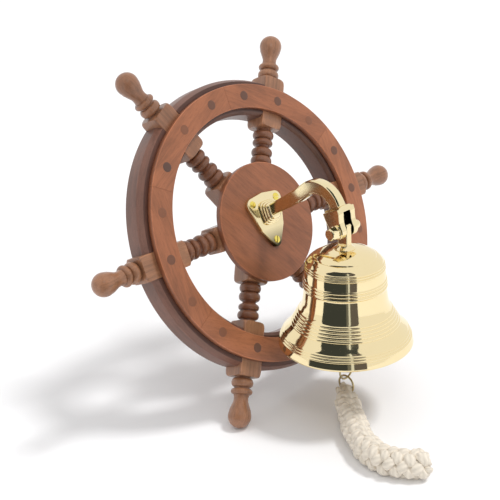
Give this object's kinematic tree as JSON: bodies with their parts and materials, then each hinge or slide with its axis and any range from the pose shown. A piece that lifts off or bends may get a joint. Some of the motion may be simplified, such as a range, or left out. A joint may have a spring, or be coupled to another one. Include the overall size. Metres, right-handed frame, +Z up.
{
  "type": "ship bell on a ship's wheel wall mount",
  "caption": "Polished brass ship bell hanging plumb from an angled arm on a turned wooden ship's wheel, with a plaited cotton bell rope",
  "frame": {"origin": "middle of the round hanging hole in the steel plate behind the hub", "axes": "+Z is up against gravity, -Y is the side the bell hangs on, +X is to the right seen from the front; the wheel leans back about X"},
  "size_m": [0.406, 0.334, 0.3282],
  "materials": {
    "wood_turned": "semi-gloss lacquer",
    "wood_rim": "satin lacquer",
    "wood_face": "satin lacquer",
    "wood_plug": "satin lacquer",
    "zinc_steel": "zinc plated",
    "brass_bracket": "polished",
    "brass_screw": "polished",
    "brass_bell": "polished",
    "brass_clapper": "plain",
    "cotton_rope": "plaited cotton"
  },
  "bodies": {
    "wheel": {"spoke_1": "wood_turned", "spoke_2": "wood_turned", "spoke_3": "wood_turned", "spoke_4": "wood_turned", "spoke_5": "wood_turned", "spoke_6": "wood_turned", "felloe_1": "wood_rim", "felloe_2": "wood_rim", "felloe_3": "wood_rim", "felloe_4": "wood_rim", "felloe_5": "wood_rim", "felloe_6": "wood_rim", "face_segment_1": "wood_face", "face_segment_2": "wood_face", "face_segment_3": "wood_face", "face_segment_4": "wood_face", "face_segment_5": "wood_face", "face_segment_6": "wood_face", "hub_front_disc": "wood_face", "hub_back_disc": "wood_rim", "rim_plugs": "wood_plug", "hanger_plate": "zinc_steel", "hanger_screws": "zinc_steel", "wall_bracket": "brass_bracket", "bracket_screws": "brass_screw", "pivot_pin": "brass_bracket", "pin_nut": "brass_screw"},
    "bell_body": {"bell_lug": "brass_bracket", "bell": "brass_bell", "crown_nut": "brass_screw", "clapper_eye": "brass_clapper"},
    "clapper": {"clapper_rod": "brass_clapper", "clapper_ball": "brass_clapper", "clapper_ring": "brass_clapper"},
    "bell_rope": {"lanyard_ring": "brass_clapper", "lanyard": "cotton_rope"}
  },
  "joints": [
    {"name": "bell_swing", "type": "hinge", "parent": "wheel", "child": "bell_body", "pos_m": [0, -0.13503, 0.03124], "axis": [1, 0, 0], "range_deg": [-55, 8]},
    {"name": "clapper_swing", "type": "hinge", "parent": "bell_body", "child": "clapper", "pos_m": [0, -0.13503, -0.00876], "axis": [1, 0, 0], "range_deg": [-30, 8]},
    {"name": "rope_swing", "type": "hinge", "parent": "clapper", "child": "bell_rope", "pos_m": [0, -0.13503, -0.12476], "axis": [1, 0, 0], "range_deg": [-45, 0]}
  ]
}
